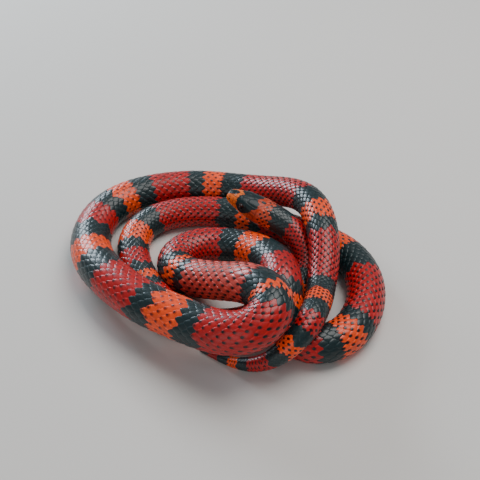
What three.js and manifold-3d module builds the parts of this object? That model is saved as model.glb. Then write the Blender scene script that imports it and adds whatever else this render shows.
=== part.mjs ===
// A milk snake lying in loose coils, life size, in millimetres with +Z up.
// The body is one long tapering form along a curve from the neck to the tail tip.
// It is parted by thin plane cuts into lengths, and the head has its jaw and eyes apart.
// The origin is at the bottom centre of the whole model's box, on the floor.
import * as THREE from 'three';
import { mergeVertices } from 'three/addons/utils/BufferGeometryUtils.js';
import Module from 'manifold-3d';

const wasm = await Module();
wasm.setup();

// Gap kept between two nodes that meet face to face
const GAP = 0.3;

// Body section: a loaf, round over the back and flatter below
const BODY_SIDES = 18;
const RING_STEP = 7;
const BACK_RISE = 0.94;
const BELLY_DROP = 0.86;
// The belly's lowest part is pressed flat on the floor by this much
const BELLY_FLAT = 0.6;
const FLOOR = 0;

// The middle line is eased in steps of this length, this many times over
const EASE_STEP = 3;
const EASE_ROUNDS = 16;
const LINE_DIVISIONS = 2000;

// Body radius at places along the length from the neck, as a share of that length
const GIRTH = [
  { place: 'neck behind the jaw', share: 0.0, radius: 9.4 },
  { place: 'neck', share: 0.03, radius: 9.5 },
  { place: 'fore body', share: 0.15, radius: 11.2 },
  { place: 'upper body', share: 0.33, radius: 13.0 },
  { place: 'middle', share: 0.48, radius: 13.5 },
  { place: 'widest part', share: 0.67, radius: 14.6 },
  { place: 'hind body', share: 0.8, radius: 12.6 },
  { place: 'vent', share: 0.87, radius: 11.0 },
  { place: 'tail root', share: 0.91, radius: 9.6 },
  { place: 'mid tail', share: 0.95, radius: 7.6 },
  { place: 'tail tip', share: 1.0, radius: 1.2 },
];

// The lie of the body: each point is x, y and the height of the belly above the floor
const LIE = {
  neck: [[36, 25, 24], [47, 20, 21], [55, 12, 14], [60, 0, 6], [58, -15, 1]],
  underTheFront: [[48, -31, 0], [30, -46, 0], [9, -57, 0], [-14, -56, 0], [-36, -43, 0], [-53, -21, 0]],
  innerLeft: [[-63, 3, 0], [-66, 25, 0], [-59, 44, 0]],
  innerBack: [[-40, 56, 0], [-14, 59, 0], [12, 55, 0], [38, 43, 0], [60, 30, 0]],
  outerRight: [[82, 17, 0], [95, -2, 0], [99, -26, 0], [94, -49, 0], [82, -69, 0]],
  rightTurn: [[66, -78, 0], [51, -77, 0], [41, -67, 7], [39, -54, 18]],
  overTheNeck: [[40, -38, 20], [37, -18, 15], [27, 0, 9], [12, 13, 3]],
  innerRun: [[-8, 19, 0]],
  leftHairpin: [[-25, 15, 0], [-35, 2, 0], [-31, -12, 1]],
  middleRun: [[-14, -26, 8], [3, -41, 20], [17, -56, 33]],
  rightHairpin: [[28, -65, 36], [33, -75, 37], [31, -86, 35], [23, -94, 31], [11, -95, 27]],
  frontRun: [[-9, -84, 20], [-28, -71, 17], [-48, -58, 15], [-66, -41, 13]],
  outerLeft: [[-82, -20, 9], [-93, 3, 4], [-97, 26, 0], [-94, 47, 0]],
  outerBack: [[-84, 65, 0], [-65, 79, 0], [-40, 87, 0], [-14, 89, 0], [12, 83, 2]],
  overTheBack: [[34, 72, 9], [52, 56, 20], [63, 39, 26], [68, 22, 27]],
  tail: [[70, 4, 25], [70, -14, 20], [67, -32, 15], [64, -49, 16], [61, -63, 25], [58, -75, 27],
    [52, -85, 25], [44, -92, 20], [34, -94, 11], [23, -92, 3], [10, -87, 0], [-3, -80, 0], [-15, -72, 0]],
};

// The lengths of the body from the neck to the tail tip, each up to a share of the whole
const LENGTHS = [
  { name: 'neck', to: 0.05 },
  { name: 'body_01', to: 0.108 },
  { name: 'body_02', to: 0.165 },
  { name: 'body_03', to: 0.222 },
  { name: 'body_04', to: 0.28 },
  { name: 'body_05', to: 0.335 },
  { name: 'body_06', to: 0.393 },
  { name: 'body_07', to: 0.455 },
  { name: 'body_08', to: 0.522 },
  { name: 'body_09', to: 0.61 },
  { name: 'body_10', to: 0.665 },
  { name: 'body_11', to: 0.72 },
  { name: 'body_12', to: 0.778 },
  { name: 'body_13', to: 0.835 },
  { name: 'body_14', to: 0.885 },
  { name: 'tail_root', to: 0.94 },
  { name: 'tail', to: 1 },
];

// Head, with x forward from the neck joint, y to the snake's left and z up
const HEAD = { length: 36.5, rings: 28, sides: 36, ringCrowding: 1.35 };
// The snout closes in a small blunt ring ahead of the last station
const NOSE = { reach: 1.1, share: 0.55 };
// The mouth line runs forward from its corner, and dips in a part of a sine wave
const MOUTH = { corner: 9.5, height: -1.9, dip: 1.1, wave: 0.75 };
// The jaw is cut out behind the corner on a slant
const JAW = { slant: 4, reach: 5, depth: 20, steps: 10 };
// Lips swell on both sides of the mouth line, from one share of the head's length to another
const LIP = { swell: 0.45, height: 1.5, from: 0.3, to: 0.5 };
// A brow stands over each eye
const BROW = { swell: 0.7, lift: 0.3, length: 4, height: 1.6 };
// Half width, crown height and chin depth at stations along the head
const HEAD_FORM = [
  { at: 0.0, width: 10.0, crown: 9.4, chin: 8.6, square: 2.0 },
  { at: 0.12, width: 10.4, crown: 9.1, chin: 8.2, square: 2.1 },
  { at: 0.3, width: 10.9, crown: 8.5, chin: 7.4, square: 2.2 },
  { at: 0.48, width: 9.7, crown: 7.9, chin: 6.7, square: 2.4 },
  { at: 0.64, width: 8.2, crown: 7.2, chin: 6.1, square: 2.5 },
  { at: 0.8, width: 6.9, crown: 5.9, chin: 5.3, square: 2.4 },
  { at: 0.92, width: 5.6, crown: 4.6, chin: 4.4, square: 2.3 },
  { at: 1.0, width: 4.1, crown: 3.1, chin: 3.3, square: 2.1 },
];
const EYE = { forward: 23.6, side: 6.0, up: 2.6, radius: 2.6, sides: 20 };
const NOSTRIL = { forward: 33.4, side: 5.0, up: 1.2, radius: 0.75, sides: 10 };

const skinRed = new THREE.MeshStandardMaterial({ color: 0xa02a2c, roughness: 0.35, metalness: 0 });
const skinOrange = new THREE.MeshStandardMaterial({ color: 0xd9582c, roughness: 0.35, metalness: 0 });
const skinBlack = new THREE.MeshStandardMaterial({ color: 0x14191d, roughness: 0.3, metalness: 0 });
const eyeBlack = new THREE.MeshStandardMaterial({ color: 0x060606, roughness: 0.05, metalness: 0 });

// Smooth value of a field between stations that lie along key
function between(stations, key, field, at) {
  let i = 0;
  while (i < stations.length - 2 && at > stations[i + 1][key]) i += 1;
  const a = stations[i];
  const b = stations[i + 1];
  const before = stations[Math.max(i - 1, 0)];
  const after = stations[Math.min(i + 2, stations.length - 1)];
  const span = b[key] - a[key];
  const t = THREE.MathUtils.clamp((at - a[key]) / span, 0, 1);
  const slopeA = ((b[field] - before[field]) / (b[key] - before[key])) * span;
  const slopeB = ((after[field] - a[field]) / (after[key] - a[key])) * span;
  const t2 = t * t;
  const t3 = t2 * t;
  return (2 * t3 - 3 * t2 + 1) * a[field] + (t3 - 2 * t2 + t) * slopeA
    + (3 * t2 - 2 * t3) * b[field] + (t3 - t2) * slopeB;
}

const bodyRadius = (share) => between(GIRTH, 'share', 'radius', share);
const bellyToCentre = (radius) => BELLY_DROP * radius - BELLY_FLAT;

// Points along a curve with its tight turns relaxed, as a body with a backbone bends
function eased(curve) {
  let points = curve.getSpacedPoints(Math.round(curve.getLength() / EASE_STEP));
  for (let round = 0; round < EASE_ROUNDS; round += 1) {
    points = points.map((point, i) => {
      if (i === 0 || i === points.length - 1) return point;
      return points[i - 1].clone().add(points[i + 1]).addScaledVector(point, 2).multiplyScalar(0.25);
    });
  }
  return points;
}

// The middle line. Its heights come from the girth at each point's own share of the length
function middleLine() {
  const points = Object.values(LIE).flat();
  const flat = new THREE.CatmullRomCurve3(points.map(([x, y, lift]) => new THREE.Vector3(x, y, lift)));
  const lengths = flat.getLengths(points.length - 1);
  const total = lengths[lengths.length - 1];
  const raised = points.map(([x, y, lift], i) => {
    const radius = bodyRadius(lengths[i] / total);
    return new THREE.Vector3(x, y, lift + bellyToCentre(radius));
  });
  const sharp = new THREE.CatmullRomCurve3(raised);
  sharp.arcLengthDivisions = LINE_DIVISIONS;
  const line = new THREE.CatmullRomCurve3(eased(sharp));
  line.arcLengthDivisions = LINE_DIVISIONS;
  return line;
}

const line = middleLine();
const lineLength = line.getLength();
const WORLD_UP = new THREE.Vector3(0, 0, 1);

// Place and axes of the body at a share of its length: back runs to the tail, left and up follow
function frameAt(share) {
  const centre = line.getPointAt(share);
  const back = line.getTangentAt(share);
  const left = new THREE.Vector3().crossVectors(back, WORLD_UP).normalize();
  const up = new THREE.Vector3().crossVectors(left, back).normalize();
  return { centre, back, left, up };
}

// Closed mesh from rings of equal size, with a flat fan over each end
function closedLoft(rings) {
  const sides = rings[0].length;
  const positions = [];
  const index = [];
  rings.flat().forEach((p) => positions.push(p.x, p.y, p.z));
  for (let i = 0; i < rings.length - 1; i += 1) {
    for (let j = 0; j < sides; j += 1) {
      const a = i * sides + j;
      const b = i * sides + ((j + 1) % sides);
      index.push(a, b, b + sides, a, b + sides, a + sides);
    }
  }
  [0, rings.length - 1].forEach((end) => {
    const middle = rings[end].reduce((sum, p) => sum.add(p), new THREE.Vector3()).divideScalar(sides);
    const tip = positions.length / 3;
    positions.push(middle.x, middle.y, middle.z);
    for (let j = 0; j < sides; j += 1) {
      const a = end * sides + j;
      const b = end * sides + ((j + 1) % sides);
      index.push(...(end === 0 ? [tip, b, a] : [tip, a, b]));
    }
  });
  const geometry = new THREE.BufferGeometry();
  geometry.setAttribute('position', new THREE.Float32BufferAttribute(positions, 3));
  geometry.setIndex(index);
  geometry.computeVertexNormals();
  return geometry;
}

function bodyRing(share) {
  const { centre, left, up } = frameAt(share);
  const radius = bodyRadius(share);
  return Array.from({ length: BODY_SIDES }, (_, j) => {
    const angle = (j / BODY_SIDES) * 2 * Math.PI;
    const rise = Math.sin(angle) > 0 ? BACK_RISE : BELLY_DROP;
    const point = centre.clone()
      .addScaledVector(left, -radius * Math.cos(angle))
      .addScaledVector(up, radius * rise * Math.sin(angle));
    point.z = Math.max(point.z, FLOOR);
    return point;
  });
}

function bodyLength(from, to) {
  const half = GAP / 2 / lineLength;
  const start = from === 0 ? 0 : from + half;
  const end = to === 1 ? 1 : to - half;
  const steps = Math.max(2, Math.round(((end - start) * lineLength) / RING_STEP));
  return closedLoft(Array.from({ length: steps + 1 }, (_, i) => bodyRing(start + ((end - start) * i) / steps)));
}

// Solids for cutting and joining
function solid(geometry) {
  const plain = geometry.clone();
  plain.deleteAttribute('normal');
  plain.deleteAttribute('uv');
  const merged = mergeVertices(plain, 1e-5);
  const vertProperties = new Float32Array(merged.attributes.position.array);
  const triVerts = new Uint32Array(merged.index.array);
  return new wasm.Manifold(new wasm.Mesh({ numProp: 3, vertProperties, triVerts }));
}

// The largest closed surface of a solid, as a geometry
function geometryOf(body) {
  const pieces = body.decompose().sort((a, b) => b.volume() - a.volume());
  const mesh = pieces[0].getMesh();
  const geometry = new THREE.BufferGeometry();
  geometry.setAttribute('position', new THREE.BufferAttribute(new Float32Array(mesh.vertProperties), 3));
  geometry.setIndex(new THREE.BufferAttribute(new Uint32Array(mesh.triVerts), 1));
  geometry.computeVertexNormals();
  return geometry;
}

function ball(radius, x, y, z, sides) {
  const geometry = new THREE.SphereGeometry(radius, sides, sides / 2);
  geometry.translate(x, y, z);
  return geometry;
}

// Height of the mouth line: it dips towards the corner, as a snake's lip does
function mouthAt(x) {
  const t = THREE.MathUtils.clamp((x - MOUTH.corner) / (HEAD.length - MOUTH.corner), 0, 1);
  return MOUTH.height - MOUTH.dip * Math.sin(Math.PI * MOUTH.wave * (1 - t));
}

function headRing(t) {
  const form = (field) => between(HEAD_FORM, 'at', field, t);
  const x = t * HEAD.length;
  const power = 2 / form('square');
  return Array.from({ length: HEAD.sides }, (_, j) => {
    const angle = ((j + 0.5) / HEAD.sides) * 2 * Math.PI;
    const across = Math.sign(Math.cos(angle)) * Math.abs(Math.cos(angle)) ** power;
    const height = Math.sign(Math.sin(angle)) * Math.abs(Math.sin(angle)) ** power;
    let y = form('width') * across;
    let z = (height > 0 ? form('crown') : form('chin')) * height;
    const lip = Math.exp(-(((z - mouthAt(x)) / LIP.height) ** 2)) * THREE.MathUtils.smoothstep(t, LIP.from, LIP.to);
    const browUp = EYE.up + EYE.radius;
    const brow = Math.exp(-(((x - EYE.forward) / BROW.length) ** 2) - (((z - browUp) / BROW.height) ** 2));
    y += across * (LIP.swell * lip + BROW.swell * brow);
    z += Math.max(0, height) * BROW.lift * brow;
    return new THREE.Vector3(x, y, z);
  });
}

function headForm() {
  const start = GAP / 2 / HEAD.length;
  const rings = Array.from({ length: HEAD.rings + 1 }, (_, i) => {
    const t = 1 - (1 - i / HEAD.rings) ** HEAD.ringCrowding;
    return headRing(start + (1 - start) * t);
  });
  const noseX = HEAD.length + NOSE.reach;
  const nose = headRing(1).map((p) => new THREE.Vector3(noseX, p.y * NOSE.share, p.z * NOSE.share));
  return closedLoft([...rings, nose]);
}

// The space that the lower jaw fills: below the mouth line and ahead of its corner
function jawSpace(gap) {
  const shape = new THREE.Shape();
  const reach = HEAD.length + JAW.reach;
  shape.moveTo(MOUTH.corner - JAW.slant - gap, -JAW.depth);
  shape.lineTo(MOUTH.corner - gap, mouthAt(MOUTH.corner) + gap);
  for (let i = 1; i <= JAW.steps; i += 1) {
    const x = MOUTH.corner + ((reach - MOUTH.corner) * i) / JAW.steps;
    shape.lineTo(x, mouthAt(x) + gap);
  }
  shape.lineTo(reach, -JAW.depth);
  const geometry = new THREE.ExtrudeGeometry(shape, { depth: 2 * JAW.depth, bevelEnabled: false });
  geometry.rotateX(Math.PI / 2);
  geometry.translate(0, JAW.depth, 0);
  return geometry;
}

// Head, lower jaw and both eyes in the head's own axes
function headPieces() {
  let skull = solid(headForm());
  [-1, 1].forEach((side) => {
    const socket = ball(EYE.radius + GAP, EYE.forward, side * EYE.side, EYE.up, EYE.sides);
    const nostril = ball(NOSTRIL.radius, NOSTRIL.forward, side * NOSTRIL.side, NOSTRIL.up, NOSTRIL.sides);
    skull = skull.subtract(solid(socket)).subtract(solid(nostril));
  });
  const upper = skull.subtract(solid(jawSpace(GAP)));
  const lower = skull.intersect(solid(jawSpace(0)));
  return {
    head: geometryOf(upper),
    lower_jaw: geometryOf(lower),
    eye_left: ball(EYE.radius, EYE.forward, EYE.side, EYE.up, EYE.sides),
    eye_right: ball(EYE.radius, EYE.forward, -EYE.side, EYE.up, EYE.sides),
  };
}

function addHead(group) {
  const { centre, back, left, up } = frameAt(0);
  const forward = back.clone().negate();
  const axes = new THREE.Matrix4().makeBasis(forward, left, up);
  const holder = new THREE.Group();
  holder.quaternion.setFromRotationMatrix(axes);
  holder.position.copy(centre);
  Object.entries(headPieces()).forEach(([name, geometry]) => {
    const mesh = new THREE.Mesh(geometry, name.startsWith('eye') ? eyeBlack : skinOrange);
    mesh.name = name;
    holder.add(mesh);
  });
  group.add(holder);
}

function addBody(group) {
  const tints = [skinBlack, skinRed, skinOrange];
  let from = 0;
  LENGTHS.forEach(({ name, to }, i) => {
    const mesh = new THREE.Mesh(bodyLength(from, to), tints[i % tints.length]);
    mesh.name = name;
    group.add(mesh);
    from = to;
  });
}

const group = new THREE.Group();
addBody(group);
addHead(group);

// The whole is moved so that its box stands centred on the origin
const box = new THREE.Box3().setFromObject(group, true);
group.position.set(-(box.min.x + box.max.x) / 2, -(box.min.y + box.max.y) / 2, 0);
group.updateMatrixWorld(true);

export default group;
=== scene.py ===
"""A milk snake at rest in its own coils: one skin, solid scales, head shields and eyes.

Lengths in the constants are millimetres, and MM turns them into Blender's metres.
A place on the snake is a distance s along it from the neck joint (negative on the head) and an
angle a round it: 0 is the right side, a quarter turn is the back, and minus a quarter is the belly.
Two numbers named as edges say where a smooth step starts and where it is complete.
"""
import math

import bpy
import numpy as np
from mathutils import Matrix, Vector

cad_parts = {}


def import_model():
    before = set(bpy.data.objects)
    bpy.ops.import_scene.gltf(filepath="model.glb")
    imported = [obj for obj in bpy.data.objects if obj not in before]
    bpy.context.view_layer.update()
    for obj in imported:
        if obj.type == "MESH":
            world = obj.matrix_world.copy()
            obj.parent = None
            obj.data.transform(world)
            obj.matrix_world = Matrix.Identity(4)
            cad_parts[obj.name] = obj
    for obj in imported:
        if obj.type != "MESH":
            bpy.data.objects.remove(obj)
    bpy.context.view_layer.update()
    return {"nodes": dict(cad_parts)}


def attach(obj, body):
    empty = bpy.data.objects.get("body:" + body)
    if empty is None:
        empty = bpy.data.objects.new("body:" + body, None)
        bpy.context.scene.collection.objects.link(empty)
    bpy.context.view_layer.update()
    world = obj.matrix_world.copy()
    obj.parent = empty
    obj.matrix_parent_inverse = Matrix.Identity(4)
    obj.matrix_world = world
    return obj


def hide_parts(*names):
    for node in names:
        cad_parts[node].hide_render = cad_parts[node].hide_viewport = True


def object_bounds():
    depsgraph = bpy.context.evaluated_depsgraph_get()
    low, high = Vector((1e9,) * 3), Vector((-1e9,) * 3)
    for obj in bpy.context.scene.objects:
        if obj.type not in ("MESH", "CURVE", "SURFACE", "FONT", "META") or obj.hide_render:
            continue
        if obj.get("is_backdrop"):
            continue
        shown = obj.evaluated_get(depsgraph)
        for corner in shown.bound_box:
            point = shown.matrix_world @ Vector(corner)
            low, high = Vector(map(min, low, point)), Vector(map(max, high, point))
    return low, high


MM = 0.001
QUARTER = math.pi / 2
TURN = 2 * math.pi
TINY = 1e-9
SEED = 11

# Section of the body, and how far the belly is pressed flat
BACK_RISE = 0.94
BELLY_DROP = 0.86
BELLY_FLAT = 0.6

# The middle line is eased in steps of this length, this many times over
EASE_STEP = 3.0
EASE_ROUNDS = 16
# Points between waypoints
CURVE_STEPS = 40

# Steps for the surface's slope, and for the size of the whole snake
NORMAL_STEP = 0.2
NORMAL_ANGLE = 0.02
SIZE_STEP = 2.0
SIZE_SIDES = 24

# Body radius at shares of the length from the neck to the tail tip
GIRTH = [
    (0.0, 9.4), (0.03, 9.5), (0.15, 11.2), (0.33, 13.0), (0.48, 13.5), (0.67, 14.6),
    (0.8, 12.6), (0.87, 11.0), (0.91, 9.6), (0.95, 7.6), (1.0, 1.2),
]

# The lie of the body: each point is x, y and the height of the belly above the floor
LIE = {
    "neck": [(36, 25, 24), (47, 20, 21), (55, 12, 14), (60, 0, 6), (58, -15, 1)],
    "under_the_front": [
        (48, -31, 0), (30, -46, 0), (9, -57, 0), (-14, -56, 0), (-36, -43, 0), (-53, -21, 0),
    ],
    "inner_left": [(-63, 3, 0), (-66, 25, 0), (-59, 44, 0)],
    "inner_back": [(-40, 56, 0), (-14, 59, 0), (12, 55, 0), (38, 43, 0), (60, 30, 0)],
    "outer_right": [(82, 17, 0), (95, -2, 0), (99, -26, 0), (94, -49, 0), (82, -69, 0)],
    "right_turn": [(66, -78, 0), (51, -77, 0), (41, -67, 7), (39, -54, 18)],
    "over_the_neck": [(40, -38, 20), (37, -18, 15), (27, 0, 9), (12, 13, 3)],
    "inner_run": [(-8, 19, 0)],
    "left_hairpin": [(-25, 15, 0), (-35, 2, 0), (-31, -12, 1)],
    "middle_run": [(-14, -26, 8), (3, -41, 20), (17, -56, 33)],
    "right_hairpin": [(28, -65, 36), (33, -75, 37), (31, -86, 35), (23, -94, 31), (11, -95, 27)],
    "front_run": [(-9, -84, 20), (-28, -71, 17), (-48, -58, 15), (-66, -41, 13)],
    "outer_left": [(-82, -20, 9), (-93, 3, 4), (-97, 26, 0), (-94, 47, 0)],
    "outer_back": [(-84, 65, 0), (-65, 79, 0), (-40, 87, 0), (-14, 89, 0), (12, 83, 2)],
    "over_the_back": [(34, 72, 9), (52, 56, 20), (63, 39, 26), (68, 22, 27)],
    "tail": [
        (70, 4, 25), (70, -14, 20), (67, -32, 15), (64, -49, 16), (61, -63, 25), (58, -75, 27),
        (52, -85, 25), (44, -92, 20), (34, -94, 11), (23, -92, 3), (10, -87, 0), (-3, -80, 0),
        (-15, -72, 0),
    ],
}

# Head, with x forward from the neck joint, y to the snake's left and z up.
# Stations: share of the length, half width, crown height, chin depth and squareness
HEAD_LENGTH = 36.5
HEAD_FORM = [
    (0.0, 10.0, 9.4, 8.6, 2.0), (0.12, 10.4, 9.1, 8.2, 2.1), (0.3, 10.9, 8.5, 7.4, 2.2),
    (0.48, 9.7, 7.9, 6.7, 2.4), (0.64, 8.2, 7.2, 6.1, 2.5), (0.8, 6.9, 5.9, 5.3, 2.4),
    (0.92, 5.6, 4.6, 4.4, 2.3), (1.0, 4.1, 3.1, 3.3, 2.1), (1.03, 0.0, 0.0, 0.0, 2.0),
]
HEAD_REACH = HEAD_FORM[-1][0]
SNOUT = HEAD_REACH * HEAD_LENGTH
# The head's section turns into the body's over this length of neck
NECK_BLEND = 14.0

# The mouth line dips behind the snout, in this share of a half wave from there to its corner
MOUTH_CORNER = 9.5
MOUTH_HEIGHT = -1.9
MOUTH_DIP = 1.1
MOUTH_WAVE = 0.75
# It ends under the snout plate: x forward and y to the side
MOUTH_END = 36.3
MOUTH_FRONT = [(36.2, 1.7), (36.7, 0.8), (36.8, 0.0)]
MOUTH_SEAM = 0.30
MOUTH_DEPTH = 0.75
MOUTH_SHADE_WIDTH = 0.3

# Lips swell on both sides of the mouth line, and a brow over each eye
LIP_SWELL = 0.45
LIP_HEIGHT = 1.5
LIP_EDGES = (0.3, 0.5)
LIP_FADE = 4
BROW_SWELL = 0.7
BROW_LENGTH = 4
BROW_HEIGHT = 1.6
BROW_RISE = 0.3

EYE_X, EYE_Y, EYE_Z = 23.6, 6.0, 2.6
EYE_RADIUS = 2.6
EYE_RINGS = 32
EYE_SIDES = 48
# Angle from the eye's axis to the edge of the pupil
PUPIL = 0.38
# The socket is on the flank only, further than this from the middle
SOCKET_SIDE = 4
OUT_OF_REACH = 9
SOCKET_DEPTH = 1.2
SOCKET_EDGES = (2.08, 1.8)
# Edges of the painted shade deep in the socket
SOCKET_SHADE_EDGES = (2.4, 2.1)
# Raised rims round the eye and the nostril: height, distance from the middle and width
EYE_RIM = (0.16, 2.4, 0.3)
NOSTRIL_RIM = (0.10, 0.95, 0.25)
NOSTRIL_X, NOSTRIL_Z = 34.0, 1.0
NOSTRIL_DEPTH = 0.8
NOSTRIL_EDGES = (0.70, 0.2)
# Edges of the painted shade in the nostril pit
NOSTRIL_SHADE_EDGES = (0.75, 0.50)

# Lines between the head shields on the snake's left; the right side mirrors them. Points are
# x forward with y to the side on the crown and under the chin, and x forward with z up on the flank
CROWN_LINES = [
    # The middle line, through the internasals, the prefrontals and the parietals
    [(35.6, 0), (27.0, 0)],
    [(17.6, 0), (9.4, 0)],
    # Snout plate, internasals and prefrontals
    [(35.6, 0), (35.3, 1.2), (34.5, 2.4)],
    [(34.5, 2.4), (33.2, 3.3), (31.6, 3.8)],
    [(31.6, 0), (31.3, 1.9), (31.6, 3.8)],
    [(31.6, 3.8), (29.5, 4.5), (27.6, 5.2), (26.4, 4.6)],
    # Frontal and the brow plates beside it
    [(27.0, 0), (26.4, 1.4), (26.0, 2.5)],
    [(26.0, 2.5), (26.4, 4.6)],
    [(26.0, 2.5), (23.2, 2.15), (20.6, 2.3)],
    [(20.6, 2.3), (18.9, 1.2), (17.6, 0)],
    [(20.6, 2.3), (20.3, 3.8), (20.9, 5.5)],
    # Parietals
    [(20.9, 5.5), (18.5, 6.4), (14.5, 7.1), (11.8, 6.2)],
    [(11.8, 6.2), (9.6, 3.6), (8.7, 1.4), (9.4, 0)],
]
FLANK_LINES = [
    # Over the lip shields, before and behind the eye
    [(35.4, 0.4), (34.4, 0.0), (32.6, -0.2), (30.4, 0.1), (28.6, 0.4), (26.8, 0.7), (25.6, 1.3)],
    [(21.6, 1.2), (20.0, 0.9), (17.5, 1.3), (14.5, 1.4), (11.6, 0.8), (9.6, -0.6)],
    # Snout plate, the two nostril plates, loreal and the plate before the eye
    [(35.4, 0.4), (35.2, 1.6), (34.5, 2.5)],
    [(34.0, 0.0), (33.9, 2.9)],
    [(31.2, 0.0), (31.0, 2.0), (31.4, 3.4)],
    [(31.0, 2.4), (28.3, 2.7), (27.6, 4.0)],
    [(28.4, 0.5), (28.3, 2.7)],
    # Behind the eye, and the temples
    [(19.9, 0.95), (19.7, 2.6), (20.2, 4.4), (20.9, 5.0)],
    [(21.6, 2.6), (19.7, 2.6), (15.6, 2.9)],
    [(15.9, 1.4), (15.6, 2.9), (15.8, 4.6)],
    [(15.7, 2.0), (11.4, 1.5)],
    [(15.7, 3.8), (11.7, 3.6)],
    [(11.5, 0.8), (11.4, 3.6), (11.9, 5.6)],
]
CHIN_LINES = [
    # Under the lower lip shields
    [
        (35.3, 0.9), (34.0, 1.5), (32.0, 2.4), (30.0, 3.2), (27.0, 4.4),
        (24.0, 5.4), (20.0, 6.7), (16.0, 7.9), (12.0, 8.5), (9.6, 8.7),
    ],
    # Middle line and the chin shields
    [(35.0, 0), (18.8, 0)],
    [(27.4, 0), (26.8, 1.8), (27.4, 4.2)],
    [(26.9, 2.6), (23.0, 3.3), (19.8, 2.0), (18.8, 0)],
]
# Where one lip shield meets the next
UPPER_LIP_SHIELDS = (34.9, 32.5, 29.9, 27.2, 24.1, 20.8, 16.7, 12.3)
LOWER_LIP_SHIELDS = (34.6, 32.4, 30.0, 27.3, 24.4, 21.3, 18.0, 14.6, 11.6)
LINE_STEP = 0.4
LIP_LINE_POINTS = 8
# Seams between shields and the swell of each: where they start, widths and depths
SHIELD_EDGES = (6, 9)
SHIELD_SEAM = 0.16
SHIELD_DEPTH = 0.16
SHIELD_PILLOW = 0.10
PILLOW_WIDTH = 0.7
SEAM_SHADE = 0.72
SEAM_SHADE_WIDTH = 0.2

# The black mask: angle from the middle of the crown in degrees, and its hind and front edges
MASK = [
    (0, 15.5, 25.4), (8, 14.5, 26.8), (15, 12.0, 28.4), (40, 12.1, 28.7), (56, 14.9, 28.5),
    (69, 15.6, 28.2), (85, 17.6, 27.6), (98, 19.4, 26.3), (108, 21.2, 25.0), (117, 22.8, 23.5),
]
MASK_FOOT_EDGES = (119, 116)
# Waves in its edge: height, rate per degree and phase
MASK_WAVES = ((0.30, 0.17, 0.4), (0.18, 0.41, 0.0))
MARK_SOFTNESS = 0.25
# The black patch on the snout: distance forward and its half width
SNOUT_PATCH = [(29.2, 0.0), (29.6, 0.9), (30.6, 1.9), (32.2, 2.6), (34.0, 2.7), (36.0, 2.5), (38.2, 2.5)]
PATCH_BACK_EDGES = (29.0, 29.4)
# Its lower edge in the middle, and how fast that rises to the sides
PATCH_LOW = 0.5
PATCH_CURVE = 0.16
PATCH_SOFTNESS = 0.3
# The black spot on the nape: distance forward, half length and half width
NAPE_SPOT = (10.4, 2.0, 1.3)
SPOT_SOFTNESS = 0.2
# From the nape's colour to the snout's, and in degrees from the flank's to the chin's
SNOUT_EDGES = (14, 26)
CHIN_EDGES = (120, 150)

# Rings of colour from the collar to the tail tip. Each row gives where the red, the black, the
# orange and the second black of one set end, along the body from the neck joint
COLLAR = (0.0, 15.0)
# On the back the collar lies this much further forward
COLLAR_LEAN = 3.0
COLLAR_EDGES = (30.0, 20.0)
RINGS = [
    (52, 64, 76, 88), (126, 138, 150, 162), (185, 194, 203, 212), (228, 237, 256, 273),
    (323, 339, 351, 362), (403, 416, 431, 453), (499, 509, 524, 535), (558, 568, 577, 585),
    (610, 630, 649, 666), (714, 722, 730, 738), (801, 815, 821, 828), (874, 891, 913, 928),
    (964, 984, 1005, 1028), (1049, 1065, 1082, 1097), (1126, 1140, 1155, 1174),
    (1235, 1251, 1267, 1278), (1318, 1334, 1350, 1361), (1372, 1380, 1389, 1399),
    (1416, 1423, 1431, 1438), (1446, 1500, 1501, 1502),
]
RED, BLACK, ORANGE = 0, 1, 2

# Skin colours as display values from 0 to 1
TINTS = np.array([(0.66, 0.050, 0.058), (0.055, 0.142, 0.152), (0.91, 0.28, 0.04)])
TIP_TINT = (0.045, 0.020, 0.020)
HALO_TINT = (0.25, 0.035, 0.025)
# Painted sheen: the pale red laid on the run between the two hairpins
SHEEN_RED = (0.88, 0.42, 0.36)
SNOUT_TINT = (0.90, 0.42, 0.13)
NAPE_TINT = (0.70, 0.22, 0.06)
CHIN_TINT = (0.86, 0.60, 0.42)
# Flanks and belly are this much paler than the back
FLANK_PALER = 0.25
FLANK_EDGES = (0.2, 0.9)
# Spread of a ring's edge from scale to scale, and of a scale's brightness
RING_SPREAD = 0.5
TONE_SPREAD = 0.07

# Scales: rows round the back and sides from each share of the length, fewer on the tail
ROWS = [(0.0, 19), (0.9, 15), (0.935, 11), (0.965, 7)]
# The belly's share of the girth on each side
BELLY_HALF = math.radians(52)
# Distance between scales as a share of the radius, and how much of it is left at the nape
SCALE_PITCH = 0.53
NAPE_PITCH = 0.80
NAPE_EDGES = (-10.0, 40.0)
BEND_CROWDING = 0.6
# Scales lie further apart along the stretched run between the two hairpins
PITCH_STRETCH = [(700.0, 1.0), (745.0, 1.25), (790.0, 1.25), (812.0, 1.0)]
# Painted sheen pales the red along the same run
SHEEN_SHARE = [(705.0, 0.0), (738.0, 0.4), (795.0, 0.4), (812.0, 0.0)]
# Where shields end and small scales start: degrees from the middle of the crown, and distance
FIRST_SCALE = [
    (0, -7.6), (25, -8.4), (45, -10.6), (70, -10.4), (95, -10.0), (110, -8.0), (130, -7.5),
]
# Where the rows of the back and the belly start, and the bare tail tip
BACK_START = -12.0
BELLY_START = -4.0
TAIL_BARE = 2.0
SCALE_OVERLAP = 1.24
SCALE_SPREAD = 1.78
BELLY_OVERLAP = 0.62
BELLY_SPREAD = 1.06
# Scales are set a little unevenly, along the body and round it
UNEVEN_ALONG = 0.06
UNEVEN_ROUND = 0.004
# The coat's pieces are of even length, from before the first scale to past the last
COAT_PIECES = 5
COAT_START = -20.0
COAT_PAST = 10.0
# Throat: first row, last row and step, then places in a row and their sizes
THROAT_RUN = (-17.5, -4.5, 1.6)
THROAT_ROWS = 9
THROAT_HALF = 2.0
THROAT_SPREAD = 0.95

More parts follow.
